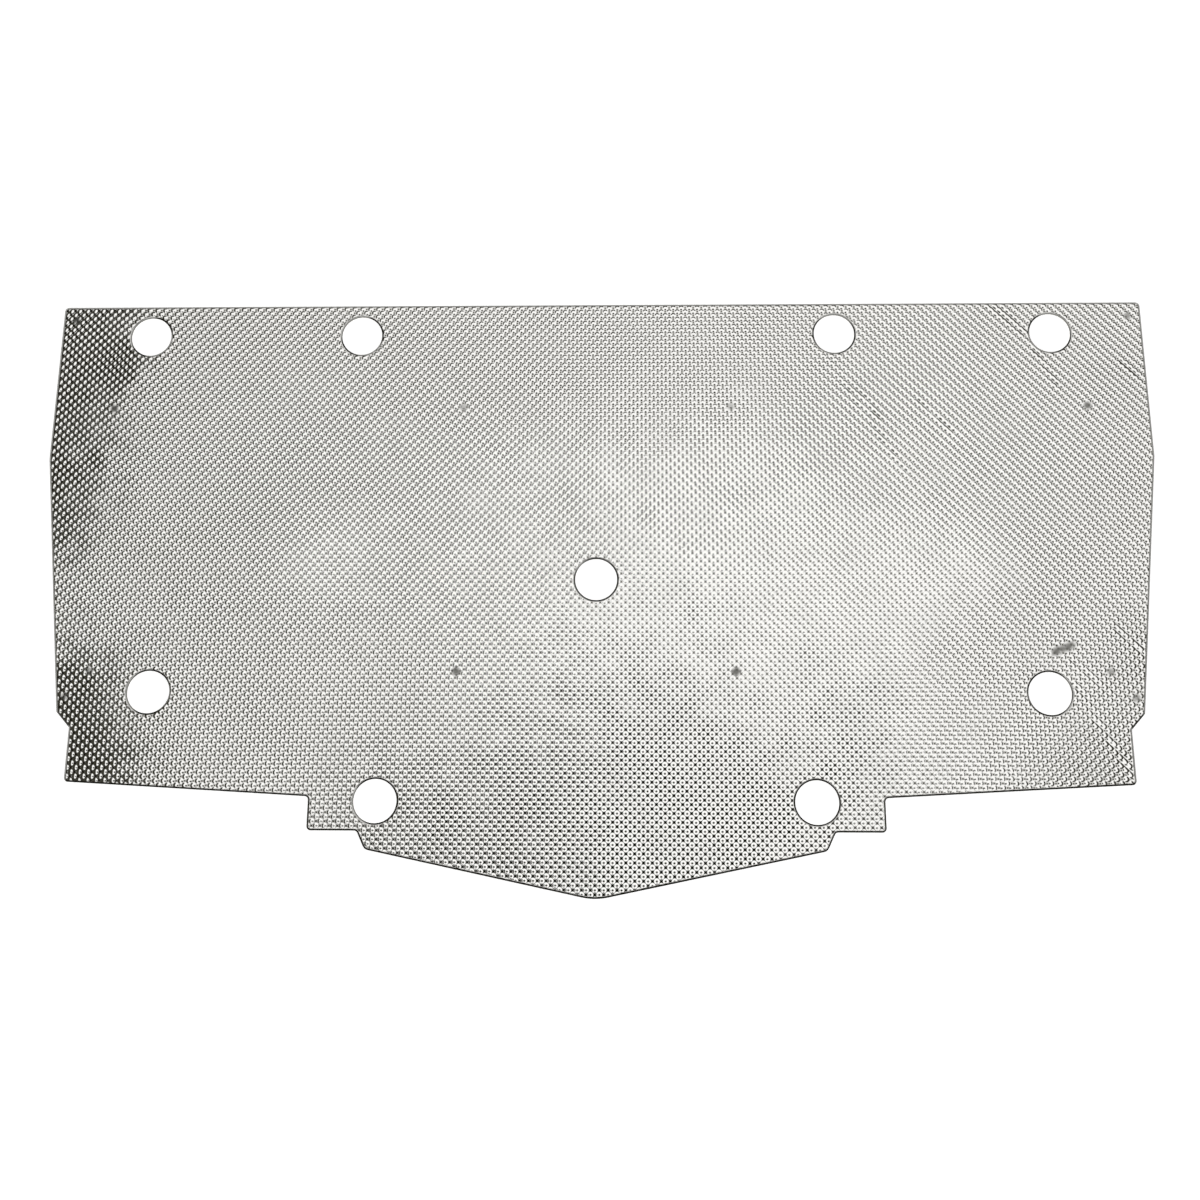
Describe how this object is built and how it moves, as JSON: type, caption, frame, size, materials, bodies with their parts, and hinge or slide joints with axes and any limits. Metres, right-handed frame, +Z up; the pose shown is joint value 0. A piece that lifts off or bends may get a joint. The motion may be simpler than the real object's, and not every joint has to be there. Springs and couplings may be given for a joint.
{
  "type": "heat shield",
  "caption": "Flat die-cut sheet of dimpled aluminium with a tapered outline, a blunt nose and round fastening holes, bolted on to keep exhaust heat off parts nearby.",
  "frame": {"origin": "middle of the outline's bounding box, at the level of the lowest ridges, on which it lies", "axes": "+X along the straight top edge, +Y towards that edge and away from the nose, +Z up, out of the patterned face"},
  "size_m": [0.808, 0.4314, 0.0015],
  "materials": {
    "embossed_aluminium": "bright rolled mill finish, embossed with staggered dimples"
  },
  "bodies": {
    "root": {"heat_shield": "embossed_aluminium"}
  },
  "joints": []
}
